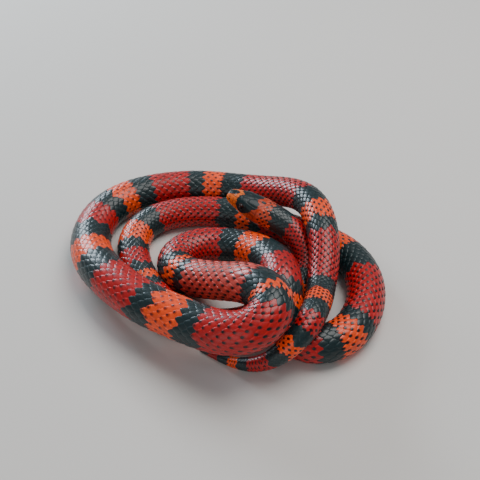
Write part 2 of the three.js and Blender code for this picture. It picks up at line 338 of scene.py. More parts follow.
# The black spot on a scale's tip fills a larger share of a small scale
SPOT_PITCH = 6.6
SPOT_POWER = 1.3
SPOT_RANGE = (0.85, 2.2)
# Size of the spots along the body, as a share of the largest
SPOT_SHARE = [
    (0.0, 0.9), (700.0, 0.9), (760.0, 1.0), (815.0, 0.8), (850.0, 0.55), (930.0, 0.38), (1050.0, 0.38),
    (1130.0, 0.6), (1200.0, 0.85), (1300.0, 0.8), (1500.0, 0.8),
]

# Shape of one plate: corners, roundness (1 is a rhomb, 2 an ellipse, more is a box), taper, lift of
# the hind edge, sink of the front edge, bulge and thickness
BACK_PLATE = (14, 1.45, 0.06, 0.28, 0.28, 0.20, 0.5)
THROAT_PLATE = (12, 1.5, 0.0, 0.18, 0.2, 0.12, 0.3)
BELLY_PLATE = (32, 5.0, 0.0, 0.28, 0.30, 0.05, 0.4)
# Rings of a plate, from the middle out to the rim
PLATE_RINGS = (0.45, 0.78, 0.95, 1.0)
RIM_DROP = 0.10
RIM_EDGES = (0.9, 1.0)
# Plates of this half length have full relief, and smaller ones less
FULL_RELIEF = 3.0
RELIEF_RANGE = (0.4, 1.15)
# No plate and no skin goes lower than these heights
PLATE_FLOOR = 0.02
SKIN_FLOOR = 0.05

# The skin: rings and sides of its fine part, up to this far behind the neck joint
HEAD_RINGS = 225
RING_CROWDING = 1.4
HEAD_END = 4.0
BODY_SIDES = 60
SIDE_RATIO = 5
HEAD_SIDES = SIDE_RATIO * BODY_SIDES
BODY_RING_STEP = 2.8
# Its relief fades at the very tip, and it lies lower and darker under the scales
TIP_FADE = 0.6
SKIN_INSET = 0.22
INSET_EDGES = (-12, -6)
UNDER_SHADE = 0.6
# The small spine at the end of the tail
SPINE = 2.4
SPINE_RINGS = 8
SPINE_CLOSE = 0.97

# The bake map: columns of the folded length, and the size of one scale's patch
UV_COLUMNS = 4
UV_PATCH = 0.003
JUST_BELOW_ONE = 0.999999

# Material of the scales. Textures: how many to the metre
NOISE_DETAIL = 3.0
MOTTLE_SCALE = 900.0
BLOTCH_SCALE = 160.0
GRAIN_SCALE = 1800.0
# The black oval on the tip of a scale that reaches from -1 to 1, and the halo round it
TIP_AT = 0.72
TIP_LENGTH = 0.30
TIP_WIDTH = 0.36
TIP_RAGGED = 1.2
TIP_REACH = 1.15
TIP_SHARPNESS = 2.2
TIP_SHOWN = 3.0
HALO_REACH = 2.6
HALO_SHARPNESS = 0.5
HALO_STRENGTH = 0.7
# Each scale's rim gets a painted highlight: where it starts, how sharply, and how much paler it is
RIM_FROM = 0.55
RIM_SHARPNESS = 2.2
RIM_HIGHLIGHT = 0.35
# How much brightness and roughness vary, and their least value
TONE = (0.9, 0.45)
ROUGHNESS = (0.16, 0.30)
# Strength of the fine grain, and its height in metres
GRAIN = (0.25, 0.0001)
# Clear coat and specular level of the head and of the body
HEAD_GLOSS = (0.10, 0.22)
BODY_GLOSS = (0.20, 0.35)
COAT_ROUGHNESS = 0.11

# Material of the eyes, with colours as shaders use them
FLECK_SCALE = 2500.0
PUPIL_BLACK = (0.002, 0.002, 0.002, 1)
IRIS_DARK = (0.010, 0.004, 0.003, 1)
IRIS_PALE = (0.040, 0.013, 0.008, 1)
PUPIL_SHARPNESS = 14.0
EYE_ROUGHNESS = (0.04, 0.03)
EYE_GRAIN = (0.05, 0.00005)
EYE_COAT = 1.0
EYE_COAT_ROUGHNESS = 0.02

# Studio, in metres. Each light has its name, place, size, power and colour
FLOOR_HALF = 2.0
FLOOR_COLOUR = (0.62, 0.60, 0.57, 1)
FLOOR_ROUGHNESS = 0.8
WORLD_COLOUR = (0.9, 0.93, 1.0, 1)
WORLD_STRENGTH = 0.28
LIGHTS = [
    ("window", (-0.66, 0.93, 0.48), (0.55, 0.30), 11.5, (0.76, 0.89, 1.0)),
    ("ceiling", (0.38, 0.30, 1.10), (0.90, 0.90), 14.0, (1.0, 0.98, 0.96)),
    ("front", (-0.45, -0.85, 0.50), (0.90, 0.90), 2.6, (1.0, 0.98, 0.96)),
]

# Camera: the photo looks down on the coils from in front. Its distance is in metres
CAMERA_DOWN = math.radians(41)
CAMERA_DISTANCE = 0.65
CAMERA_LENS = 65.0
CAMERA_SENSOR = 36.0
CAMERA_NEAR = 0.01
AIM = (12.0, 37.0, 0.0)


def linear(colour):
    """Display colour to the linear light that shaders use."""
    c = np.asarray(colour, float)
    return np.where(c <= 0.04045, c / 12.92, ((c + 0.055) / 1.055) ** 2.4)


def smooth(x, low, high):
    """A smooth step from 0 at low to 1 at high; it falls where high is the smaller."""
    t = np.clip((x - low) / (high - low), 0, 1)
    return t * t * (3 - 2 * t)


def signed_power(x, power):
    """A power of the size of x, with the sign of x."""
    return np.sign(x) * np.abs(x) ** power


def bell(x, width):
    """A smooth hump, 1 at x = 0 and fading over the width."""
    return np.exp(-((x / width) ** 2))


def between(stations, column, at):
    """Smooth value between stations, with slopes taken from each station's neighbours."""
    table = np.array(stations, float)
    keys = table[:, 0]
    values = table[:, column]
    before = np.maximum(np.arange(len(keys)) - 1, 0)
    after = np.minimum(np.arange(len(keys)) + 1, len(keys) - 1)
    slopes = (values[after] - values[before]) / (keys[after] - keys[before])
    at = np.clip(at, keys[0], keys[-1])
    i = np.clip(np.searchsorted(keys, at, side="right") - 1, 0, len(keys) - 2)
    span = keys[i + 1] - keys[i]
    t = (at - keys[i]) / span
    rise = (2 * t**3 - 3 * t**2 + 1) * values[i] + (3 * t**2 - 2 * t**3) * values[i + 1]
    return rise + ((t**3 - 2 * t**2 + t) * slopes[i] + (t**3 - t**2) * slopes[i + 1]) * span


def curve_through(points):
    """Points along a smooth curve through the waypoints, without loops where they are close."""
    points = np.asarray(points, float)
    ends = [2 * points[0] - points[1]], [2 * points[-1] - points[-2]]
    p = np.concatenate([ends[0], points, ends[1]])
    t = np.arange(CURVE_STEPS)[:, None] / CURVE_STEPS
    out = []
    for x0, x1, x2, x3 in zip(p, p[1:], p[2:], p[3:]):
        d0, d1, d2 = (np.sum((b - a) ** 2) ** 0.25 for a, b in ((x0, x1), (x1, x2), (x2, x3)))
        m1 = ((x1 - x0) / d0 - (x2 - x0) / (d0 + d1) + (x2 - x1) / d1) * d1
        m2 = ((x2 - x1) / d1 - (x3 - x1) / (d1 + d2) + (x3 - x2) / d2) * d1
        cubic = 2 * x1 - 2 * x2 + m1 + m2
        square = -3 * x1 + 3 * x2 - 2 * m1 - m2
        out.append(x1 + m1 * t + square * t**2 + cubic * t**3)
    out.append(points[-1:])
    return np.concatenate(out)


def lengths_along(points):
    """Distance along the line of each of its points."""
    return np.concatenate([[0], np.cumsum(np.linalg.norm(np.diff(points, axis=0), axis=1))])


def spaced(points, count):
    """The same line with its points evenly spaced."""
    run = lengths_along(points)
    at = np.linspace(0, run[-1], count + 1)
    return np.stack([np.interp(at, run, points[:, k]) for k in range(3)], 1)


def eased(points):
    """The line with its tight turns relaxed, as a body with a backbone bends."""
    points = spaced(points, round(lengths_along(points)[-1] / EASE_STEP))
    for _ in range(EASE_ROUNDS):
        points[1:-1] = (points[:-2] + 2 * points[1:-1] + points[2:]) / 4
    return points


def mouth_at(x):
    """Height of the mouth line: it dips towards the corner."""
    t = np.clip(1 - (x - MOUTH_CORNER) / (HEAD_LENGTH - MOUTH_CORNER), 0, 1)
    return MOUTH_HEIGHT - MOUTH_DIP * np.sin(math.pi * t * MOUTH_WAVE)


def from_crown(a):
    """Degrees from the middle of the crown or the back, on either side."""
    return np.degrees(np.abs(np.mod(a - QUARTER + math.pi, TURN) - math.pi))


class Snake:
    """The snake's outer surface, as a function of the distance along it and the angle round it."""

    STEP = 0.5

    def __init__(self):
        waypoints = np.array([p for part in LIE.values() for p in part], float)
        chords = lengths_along(waypoints)
        radius = between(GIRTH, 1, chords / chords[-1])
        waypoints[:, 2] += BELLY_DROP * radius - BELLY_FLAT
        line = curve_through(eased(curve_through(waypoints)))
        self.length = lengths_along(line)[-1]
        centre = spaced(line, int(self.length / self.STEP))
        s = np.linspace(0, self.length, len(centre))
        back = np.gradient(centre, axis=0)
        back /= np.linalg.norm(back, axis=1)[:, None]
        # The head lies straight ahead of the neck
        forward = -back[0]
        ahead = np.arange(-SNOUT, 0, self.STEP)
        s = np.concatenate([ahead, s])
        centre = np.concatenate([centre[0] - ahead[:, None] * forward, centre])
        back = np.concatenate([np.repeat(back[:1], len(ahead), 0), back])
        left = np.cross(back, (0, 0, 1))
        left /= np.linalg.norm(left, axis=1)[:, None]
        self.s = s
        # How tightly each place bends, as a share of the tightest that its girth allows
        turning = np.linalg.norm(np.gradient(back, axis=0), axis=1) / self.STEP
        self.bend = turning * self.radius(s)
        self.columns = np.concatenate([centre, left, np.cross(left, back)], 1)
        self.shift = np.zeros(3)

    def frames(self, s):
        """Centre, left and up directions at each distance."""
        rows = np.stack([np.interp(s, self.s, c) for c in self.columns.T], -1)
        return rows[..., 0:3], rows[..., 3:6], rows[..., 6:9]

    def radius(self, s):
        """Half width of the body at each distance."""
        return between(GIRTH, 1, np.clip(s, 0, self.length) / self.length)

    def section(self, s):
        """Half width, rise of the back, drop of the belly and squareness."""
        t = np.clip(-s / HEAD_LENGTH, 0, HEAD_REACH)
        squares = [(row[0], *(v * v for v in row[1:4]), row[4]) for row in HEAD_FORM]
        head = [np.sqrt(np.maximum(between(squares, k, t), 0)) for k in (1, 2, 3)]
        head.append(between(squares, 4, t))
        radius = self.radius(s)
        body = [radius, BACK_RISE * radius, BELLY_DROP * radius, 2 * np.ones_like(radius)]
        mix = smooth(s, 0, NECK_BLEND)
        return [h + (b - h) * mix for h, b in zip(head, body)]

    def across(self, s, a):
        """Offsets to the left and up from the middle line."""
        width, rise, drop, square = self.section(s)
        power = 2 / square
        y = -width * signed_power(np.cos(a), power)
        lift = signed_power(np.sin(a), power)
        z = np.where(lift > 0, rise, drop) * lift
        x = -s
        # Lips and brows swell from the plain section
        along = smooth(x / HEAD_LENGTH, *LIP_EDGES) * smooth(x, SNOUT, SNOUT - LIP_FADE)
        lip = bell(z - mouth_at(x), LIP_HEIGHT) * along
        brow = bell(x - EYE_X, BROW_LENGTH) * bell(z - EYE_Z - EYE_RADIUS, BROW_HEIGHT)
        share = np.abs(np.cos(a)) ** power
        y = y + np.sign(y) * share * (LIP_SWELL * lip + BROW_SWELL * brow)
        return y, z + np.maximum(0, lift) * BROW_RISE * brow

    def at(self, s, a):
        """Point of the surface in millimetres, in the model's frame."""
        s, a = np.broadcast_arrays(s, a)
        centre, left, up = self.frames(s)
        y, z = self.across(s, a)
        points = centre + left * y[..., None] + up * z[..., None]
        points[..., 2] = np.maximum(points[..., 2], 0)
        return points + self.shift

    def normal(self, s, a):
        """Direction straight out of the surface."""
        along = self.at(s + NORMAL_STEP, a) - self.at(s - NORMAL_STEP, a)
        around = self.at(s, a + NORMAL_ANGLE) - self.at(s, a - NORMAL_ANGLE)
        inward = np.cross(along, around)
        size = np.linalg.norm(inward, axis=-1, keepdims=True)
        return -inward / np.maximum(size, TINY)

    def fit(self):
        """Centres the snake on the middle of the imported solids' box."""
        s = np.arange(0, self.length, SIZE_STEP)[:, None]
        a = np.linspace(0, TURN, SIZE_SIDES + 1)[None, :]
        points = self.at(s, a).reshape(-1, 3)
        cad_low, cad_high = (np.array(v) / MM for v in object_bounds())
        self.shift = (cad_low + cad_high - points.min(0) - points.max(0)) / 2
        self.shift[2] = 0


def ring_of(s):
    """Which ring of colour a place along the body is in."""
    code = np.full(np.shape(s), ORANGE)
    code = np.where((s >= COLLAR[0]) & (s < COLLAR[1]), BLACK, code)
    start = COLLAR[1]
    for ends in RINGS:
        for end, tint in zip(ends, (RED, BLACK, ORANGE, BLACK)):
            code = np.where((s >= start) & (s < end), tint, code)
            start = end
    return code


def body_colour(s, code):
    """Colour of each ring, with painted sheen paling the red along the run between the two hairpins."""
    colour = linear(TINTS)[code]
    # Painted sheen on the red between the hairpins
    share = np.interp(s, *zip(*SHEEN_SHARE)) * (code == RED)
    return colour + (linear(SHEEN_RED) - colour) * share[..., None]


def head_colour(x, y, z, a):
    """Markings of the head and nape: orange with a black mask, snout patch and nape spot."""
    degrees = from_crown(a)
    angles, hinds, fronts = zip(*MASK)
    inside = np.minimum(x - np.interp(degrees, angles, hinds), np.interp(degrees, angles, fronts) - x)
    wander = sum(height * np.sin(rate * degrees + phase) for height, rate, phase in MASK_WAVES)
    mask = smooth(inside + wander, -MARK_SOFTNESS, MARK_SOFTNESS) * smooth(degrees, *MASK_FOOT_EDGES)
    half = np.interp(x, *zip(*SNOUT_PATCH))
    low = PATCH_LOW + PATCH_CURVE * y**2
    patch = smooth(half - np.abs(y), -MARK_SOFTNESS, MARK_SOFTNESS) * smooth(x, *PATCH_BACK_EDGES)
    patch = patch * smooth(z - low, -PATCH_SOFTNESS, PATCH_SOFTNESS)
    spot_x, spot_length, spot_width = NAPE_SPOT
    spot = 1 - ((x - spot_x) / spot_length) ** 2 - (y / spot_width) ** 2
    spot = smooth(spot, -SPOT_SOFTNESS, SPOT_SOFTNESS) * (z > 0)
    black = np.maximum(np.maximum(mask, patch), spot)[..., None]
    snout, nape, chin, dark = (linear(c) for c in (SNOUT_TINT, NAPE_TINT, CHIN_TINT, TINTS[BLACK]))
    colour = nape + (snout - nape) * smooth(x, *SNOUT_EDGES)[..., None]
    colour = colour + (chin - colour) * smooth(degrees, *CHIN_EDGES)[..., None]
    return colour + (dark - colour) * black


def add_object(name, data):
    """A new object in the scene."""
    thing = bpy.data.objects.new(name, data)
    bpy.context.scene.collection.objects.link(thing)
    return thing


def make_mesh(name, verts, faces, smooth_faces=True):
    """A mesh object from points in millimetres and a list of face arrays, each of one corner count."""
    mesh = bpy.data.meshes.new(name)
    loops = np.concatenate([f.ravel() for f in faces])
    sizes = np.concatenate([np.full(len(f), f.shape[1]) for f in faces])
    starts = np.concatenate([[0], np.cumsum(sizes)[:-1]])
    mesh.vertices.add(len(verts))
    mesh.vertices.foreach_set("co", (verts * MM).astype(np.float32).ravel())
    mesh.loops.add(len(loops))
    mesh.loops.foreach_set("vertex_index", loops.astype(np.int32))
    mesh.polygons.add(len(sizes))
    mesh.polygons.foreach_set("loop_start", starts.astype(np.int32))
    mesh.update(calc_edges=True)
    mesh.validate()
    mesh.polygons.foreach_set("use_smooth", np.full(len(mesh.polygons), smooth_faces))
    return add_object(name, mesh)


def set_colour(piece, name, values):
    """Stores one colour for each vertex."""
    data = np.concatenate([values, np.ones((len(values), 1))], 1).astype(np.float32)
    piece.data.attributes.new(name, "FLOAT_COLOR", "POINT").data.foreach_set("color", data.ravel())


def set_number(piece, name, values):
    """Stores one number for each vertex."""
    piece.data.attributes.new(name, "FLOAT", "POINT").data.foreach_set("value", values.astype(np.float32))


def unwrap(s, a, length):
    """Where a place on the skin falls on the unwrap: the length folded into columns side by side."""
    along = np.clip((s + SNOUT) / (length + SNOUT), 0, JUST_BELOW_ONE) * UV_COLUMNS
    column = np.floor(along)
    around = np.mod(a + QUARTER, TURN) / TURN
    return np.stack([along - column, (column + around) / UV_COLUMNS], -1)


def set_uv(piece, uv_of_vertex):
    """Writes the bake map, from one place for each vertex."""
    mesh = piece.data
    corners = np.zeros(len(mesh.loops), np.int32)
    mesh.loops.foreach_get("vertex_index", corners)
    layer = mesh.uv_layers.new(name="OFBake")
    layer.data.foreach_set("uv", uv_of_vertex[corners].astype(np.float32).ravel())


def grid_faces(rings, sides, first):
    """Quads between rings of a tube whose points start at first."""
    k = np.arange(sides)
    nxt = (k + 1) % sides
    rows = first + np.arange(rings - 1)[:, None] * sides
    return np.stack([rows + k, rows + sides + k, rows + sides + nxt, rows + nxt], -1).reshape(-1, 4)


def fan_faces(pole, first, sides, far):
    """Triangles from a pole to the ring that starts at first; far turns them to face the other way."""
    k = np.arange(sides)
    nxt = (k + 1) % sides
    low, high = (first + nxt, first + k) if far else (first + k, first + nxt)
    return np.stack([np.full(sides, pole), low, high], 1)


def plate_faces(corners):
    """Triangles, quads and vertex count of a closed plate: centre, rings, skirt, under centre."""
    rings = len(PLATE_RINGS) + 1
    under = 1 + rings * corners
    ends = [fan_faces(0, 1, corners, False), fan_faces(under, under - corners, corners, True)]
    return np.concatenate(ends), grid_faces(rings, corners, 1), under + 1


def plate_outline(corners, roundness, taper):
    """Rim of a plate, from -1 to 1 along and across it."""
    angle = np.arange(corners) / corners * TURN
    u = signed_power(np.cos(angle), 2 / roundness)
    v = signed_power(np.sin(angle), 2 / roundness)
    return u, v * (1 - taper * u)


def build_plates(snake, name, places, shape, tints):
    """Joined closed plates on the skin, of a shape that is listed as BACK_PLATE is.

    Each place is the distance, angle, half length and half angle of one plate.
    """
    corners, roundness, taper, lift, sink, bulge, depth = shape
    rim_u, rim_v = plate_outline(corners, roundness, taper)
    rings = np.array(PLATE_RINGS + (1.0,))
    u = np.concatenate([[0], np.outer(rings, rim_u).ravel(), [0]])
    v = np.concatenate([[0], np.outer(rings, rim_v).ravel(), [0]])
    radial = np.concatenate([[0], np.repeat(rings, corners), [0]])
    height = -sink + (lift + sink) * (u + 1) / 2 + bulge * (1 - radial**2)
    height -= RIM_DROP * smooth(radial, *RIM_EDGES)
    # The skirt and the underside lie a plate's thickness lower
    height[-1 - corners:] -= depth
    s0, a0, half_s, half_a = (places[:, k][:, None] for k in range(4))
    s = s0 + u[None, :] * half_s
    a = a0 + v[None, :] * half_a
    relief = np.clip(half_s / FULL_RELIEF, *RELIEF_RANGE)
    verts = snake.at(s, a) + snake.normal(s, a) * (relief * height[None, :])[..., None]
    verts[..., 2] = np.maximum(verts[..., 2], PLATE_FLOOR)
    tri, quad, stride = plate_faces(corners)
    offsets = (np.arange(len(places)) * stride)[:, None, None]
    faces = [(tri[None] + offsets).reshape(-1, 3), (quad[None] + offsets).reshape(-1, 4)]
    piece = make_mesh(name, verts.reshape(-1, 3), faces)
    set_colour(piece, "tint", np.repeat(tints, stride, 0))
    set_number(piece, "along", np.tile(u, len(places)))
    set_number(piece, "side", np.tile(v, len(places)))
    set_number(piece, "rim", np.tile(radial, len(places)))
    root = unwrap(places[:, 0], places[:, 1], snake.length)
    patch = np.stack([u, v], -1)[None] * UV_PATCH / 2
    set_uv(piece, (root[:, None, :] + patch).reshape(-1, 2))
    return piece


def tint_scales(snake, places, rng):
    """Colour of whole scales and the ring that each is in, varied a little."""
    s, a = places[:, 0], places[:, 1]
    lean = COLLAR_LEAN * smooth(np.sin(a), 0.0, 1.0) * smooth(s, *COLLAR_EDGES)
    code = ring_of(s + lean + rng.normal(0, RING_SPREAD, len(s)))
    y, z = snake.across(s, a)
    on_head = (s + lean < COLLAR[0])[:, None]
    colour = np.where(on_head, head_colour(-s, y, z, a), body_colour(s, code))
    tone = np.exp(rng.normal(0, TONE_SPREAD, len(s)))
    pale = 1 + FLANK_PALER * smooth(-np.sin(a), *FLANK_EDGES)
    return colour * (tone * pale)[:, None], code


def pitch_at(snake, s):
    """Distance between rows of scales: closer on thin parts, at the nape and in tight bends."""
    nape = NAPE_PITCH + (1 - NAPE_PITCH) * float(smooth(s, *NAPE_EDGES))
    bend = float(np.interp(s, snake.s, snake.bend))
    stretch = float(np.interp(s, *zip(*PITCH_STRETCH)))
    return SCALE_PITCH * float(snake.radius(s)) * nape * stretch / (1 + BEND_CROWDING * bend)


def scale_stations(snake, start):
    """Distances of the rows of scales, from the start to the end of the tail."""
    stations = []
    s = start
    while s < snake.length - TAIL_BARE:
        stations.append(s)
        s += pitch_at(snake, s)
    return np.array(stations)


def back_places(snake):
    """Places of the scales of the back and sides, in offset rows from the nape to the tail tip."""
    places = []
    for s in scale_stations(snake, BACK_START):
        pitch = pitch_at(snake, s)
        share = max(s, 0) / snake.length
        rows = [count for limit, count in ROWS if share >= limit][-1]
        step = (TURN - 2 * BELLY_HALF) / rows
        for row in range(rows):
            a = -QUARTER + BELLY_HALF + (row + 0.5) * step
            offset = pitch / 2 if row % 2 else 0
            if s + offset > np.interp(from_crown(a), *zip(*FIRST_SCALE)):
                places.append((s + offset, a, pitch / 2 * SCALE_OVERLAP, step / 2 * SCALE_SPREAD))
    return np.array(places)


def body_scales(snake, rng):
    """Scales of the back and sides, with a black spot on the tip of each coloured one."""
    places = back_places(snake)
    places[:, 0] += rng.normal(0, UNEVEN_ALONG, len(places))
    places[:, 1] += rng.normal(0, UNEVEN_ROUND, len(places))
    tints, code = tint_scales(snake, places, rng)
    stride = plate_faces(BACK_PLATE[0])[2]
    edges = np.linspace(COAT_START, snake.length + COAT_PAST, COAT_PIECES + 1)
    pieces = []
    for k, (low, high) in enumerate(zip(edges, edges[1:])):
        mine = (places[:, 0] >= low) & (places[:, 0] < high)
        piece = build_plates(snake, f"scales_{k + 1}", places[mine], BACK_PLATE, tints[mine])
        pitch = 2 * places[mine, 2] / SCALE_OVERLAP
        spot = (code[mine] != BLACK) * np.clip((SPOT_PITCH / pitch) ** SPOT_POWER, *SPOT_RANGE)
        spot = spot * np.interp(places[mine, 0], *zip(*SPOT_SHARE))
        set_number(piece, "spotted", np.repeat(spot, stride))
        pieces.append(piece)
    return pieces


def throat_scales(snake, rng):
    """Small scales between the chin shields and the first broad belly plate."""
    step = 2 * BELLY_HALF / THROAT_ROWS
    places = []
    for index, s in enumerate(np.arange(*THROAT_RUN)):
        for row in range(THROAT_ROWS):
            if (row + index) % 2 == 0:
                a = -QUARTER - BELLY_HALF + (row + 0.5) * step
                places.append((s, a, THROAT_HALF, step * THROAT_SPREAD))
    places = np.array(places)
    tints, _ = tint_scales(snake, places, rng)
    return build_plates(snake, "throat_scales", places, THROAT_PLATE, tints)


def belly_scutes(snake, rng):
    """Broad plates under the belly, one to each row of scales."""
    places = []
    for s in scale_stations(snake, BELLY_START):
        places.append((s, -QUARTER, pitch_at(snake, s) * BELLY_OVERLAP, BELLY_HALF * BELLY_SPREAD))
    places = np.array(places)
    tints, _ = tint_scales(snake, places, rng)
    return build_plates(snake, "belly_scutes", places, BELLY_PLATE, tints)


def angle_on(snake, kind, x, offset):
    """Angle on the left half of a head point, from its offset to the side or its height."""
    width, rise, drop, square = snake.section(-x)
    reach = np.where(offset > 0, rise, drop) if kind == "flank" else width
    share = np.clip(np.abs(offset) / reach, 0, 1) ** (square / 2)
    if kind == "crown":
        return np.arccos(-share)
    if kind == "chin":
        return -np.arccos(-share)
    return math.pi - np.arcsin(np.sign(offset) * share)


def segments_of(x, y, z):
    """Pairs of neighbouring points along a line, in the head's own axes."""
    path = np.stack([x, y, z], 1)
    return np.stack([path[:-1], path[1:]], 1)


def head_line(snake, kind, points):
    """Segments of a line on the head's left half."""
    points = np.array(points, float)
    run = lengths_along(points)
    at = np.linspace(0, run[-1], int(run[-1] / LINE_STEP) + 2)
    x, offset = (np.interp(at, run, points[:, k]) for k in (0, 1))
    y, z = snake.across(-x, angle_on(snake, kind, x, offset))
    return segments_of(x, y, z)


def lip_line(snake, x, low, high):
    """Segments across a lip shield's edge at x, between two angles."""
    across = np.full(LIP_LINE_POINTS, x)
    y, z = snake.across(-across, np.linspace(low, high, LIP_LINE_POINTS))
    return segments_of(across, np.abs(y), z)


def shield_lines(snake):
    """All lines between shields, and the mouth line, as segments on the left half."""
    lines = []
    for kind, group in (("crown", CROWN_LINES), ("flank", FLANK_LINES), ("chin", CHIN_LINES)):
        lines += [head_line(snake, kind, points) for points in group]
    lip_top = np.array(sorted(FLANK_LINES[0] + FLANK_LINES[1]))
    lip_low = np.array(sorted(CHIN_LINES[0]))
    for x in UPPER_LIP_SHIELDS:
        top = angle_on(snake, "flank", x, np.interp(x, lip_top[:, 0], lip_top[:, 1]))
        lines.append(lip_line(snake, x, angle_on(snake, "flank", x, mouth_at(x)), top))
    for x in LOWER_LIP_SHIELDS:
        low = TURN + angle_on(snake, "chin", x, np.interp(x, lip_low[:, 0], lip_low[:, 1]))
        lines.append(lip_line(snake, x, low, angle_on(snake, "flank", x, mouth_at(x))))
    forward = np.arange(MOUTH_CORNER, MOUTH_END, LINE_STEP)
    mouth = [head_line(snake, "flank", np.stack([forward, mouth_at(forward)], 1))]
    mouth.append(head_line(snake, "chin", MOUTH_FRONT))
    return np.concatenate(lines), np.concatenate(mouth)


def distance_to(segments, points, chunk=5000):
    """Distance from each point to the nearest segment."""
    start = segments[:, 0]
    span = segments[:, 1] - start
    square = np.maximum((span**2).sum(1), TINY)
    out = []
    for i in range(0, len(points), chunk):
        rel = points[i:i + chunk, None, :] - start[None]
        t = np.clip((rel * span[None]).sum(-1) / square, 0, 1)
        out.append(np.sqrt(((rel - t[..., None] * span[None]) ** 2).sum(-1).min(1)))
    return np.concatenate(out)


def rim_height(distance, rim):
    """Height of a raised rim round an opening, at a distance from its middle."""
    height, at, width = rim
    return height * bell(distance - at, width)


def head_relief(snake, x, y, z):
    """Relief of shields, mouth, sockets and nostrils on the head, and how dark each place is: dark seams
    and mouth line, with painted shade in the sockets and nostril pits.
    """
    local = np.stack([x, np.abs(y), z], -1).reshape(-1, 3)
    shields, mouth = shield_lines(snake)
    seam = distance_to(shields, local).reshape(x.shape)
    lip = distance_to(mouth, local).reshape(x.shape)
    on_head = smooth(x, *SHIELD_EDGES)
    height = SHIELD_PILLOW * (1 - bell(seam, PILLOW_WIDTH)) * on_head
    height -= SHIELD_DEPTH * bell(seam, SHIELD_SEAM) * on_head
    height -= MOUTH_DEPTH * bell(lip, MOUTH_SEAM)
    dark_seams_and_shade = np.maximum(SEAM_SHADE * bell(seam, SEAM_SHADE_WIDTH) * on_head, bell(lip, MOUTH_SHADE_WIDTH))

    socket = np.hypot(x - EYE_X, z - EYE_Z) + OUT_OF_REACH * (np.abs(y) < SOCKET_SIDE)
    height += rim_height(socket, EYE_RIM) - SOCKET_DEPTH * smooth(socket, *SOCKET_EDGES)
    # Painted shade darkens the skin deep in the socket
    dark_seams_and_shade = np.maximum(dark_seams_and_shade, smooth(socket, *SOCKET_SHADE_EDGES))

    pit_a = angle_on(snake, "flank", NOSTRIL_X, NOSTRIL_Z)
    pit_y, pit_z = snake.across(np.array(-NOSTRIL_X), pit_a)
    pit = np.linalg.norm(local - np.array([NOSTRIL_X, pit_y, pit_z]), axis=1).reshape(x.shape)
    height += rim_height(pit, NOSTRIL_RIM) - NOSTRIL_DEPTH * smooth(pit, *NOSTRIL_EDGES)
    # Painted shade darkens the nostril pit
    dark_seams_and_shade = np.maximum(dark_seams_and_shade, smooth(pit, *NOSTRIL_SHADE_EDGES))
    return height, dark_seams_and_shade


def head_surface(snake):
    """Points and colours of the skin's fine part, in rings from the snout."""
    ring_s = -SNOUT + (SNOUT + HEAD_END) * (np.linspace(0, 1, HEAD_RINGS) ** RING_CROWDING)[1:]
    ring_a = np.arange(HEAD_SIDES) / HEAD_SIDES * TURN
    s, a = np.meshgrid(ring_s, ring_a, indexing="ij")
    x = -s
    y, z = snake.across(s, a)
    height, dark_seams_and_shade = head_relief(snake, x, y, z)
    height = height * smooth(x, SNOUT, SNOUT - TIP_FADE) - SKIN_INSET * smooth(s, *INSET_EDGES)
    colour = head_colour(x, y, z, a)
    # Dark seams and mouth line, and painted shade in the socket and nostril, take the dark tips' colour
    colour = colour + (linear(TIP_TINT) - colour) * dark_seams_and_shade[..., None]
    return snake.at(s, a) + snake.normal(s, a) * height[..., None], colour


def body_surface(snake):
    """Points and colours of the plain skin under the scales, in rings to the tail's small spine."""
    spine = snake.length - SPINE
    ring_s = np.arange(HEAD_END + BODY_RING_STEP, spine, BODY_RING_STEP)
    closing = np.sin(np.linspace(0, SPINE_CLOSE, SPINE_RINGS) * QUARTER)
    ring_s = np.append(ring_s, spine + SPINE * closing)
    ring_a = np.arange(BODY_SIDES) / BODY_SIDES * TURN
    s, a = np.meshgrid(ring_s, ring_a, indexing="ij")
    points = snake.at(s, a) - snake.normal(s, a) * SKIN_INSET
    points[..., 2] = np.maximum(points[..., 2], SKIN_FLOOR)
    middle = points.mean(1, keepdims=True)
    slim = np.sqrt(1 - np.clip((s - spine) / SPINE, 0, 1) ** 2)[..., None]
    return middle + (points - middle) * slim, body_colour(s, ring_of(s)) * UNDER_SHADE


def skin(snake):
    """One skin from snout to tail tip: fine on the head, plain under the body's scales."""
    head, head_tint = head_surface(snake)
    body, body_tint = body_surface(snake)
    snout = snake.at(np.array([-SNOUT]), np.array([0.0]))
    verts = np.concatenate([head.reshape(-1, 3), body.reshape(-1, 3), snout, body[-1:].mean(1)])
    # One many-sided face joins each side of the body to the head's finer ones
    first_body = len(head) * HEAD_SIDES
    last_head = first_body - HEAD_SIDES
    k = np.arange(BODY_SIDES)
    fine = [last_head + SIDE_RATIO * k + i for i in reversed(range(SIDE_RATIO))]
    past = last_head + SIDE_RATIO * (k + 1) % HEAD_SIDES
    faces = [
        grid_faces(len(head), HEAD_SIDES, 0),
        grid_faces(len(body), BODY_SIDES, first_body),
        np.stack([first_body + k, first_body + (k + 1) % BODY_SIDES, past] + fine, 1),
        fan_faces(len(verts) - 2, 0, HEAD_SIDES, False),
        fan_faces(len(verts) - 1, len(verts) - 2 - BODY_SIDES, BODY_SIDES, True),
    ]
    piece = make_mesh("skin", verts, faces)
    ends = [linear(SNOUT_TINT), linear(TINTS[BLACK])]
    set_colour(piece, "tint", np.concatenate([head_tint.reshape(-1, 3), body_tint.reshape(-1, 3), ends]))
    return piece


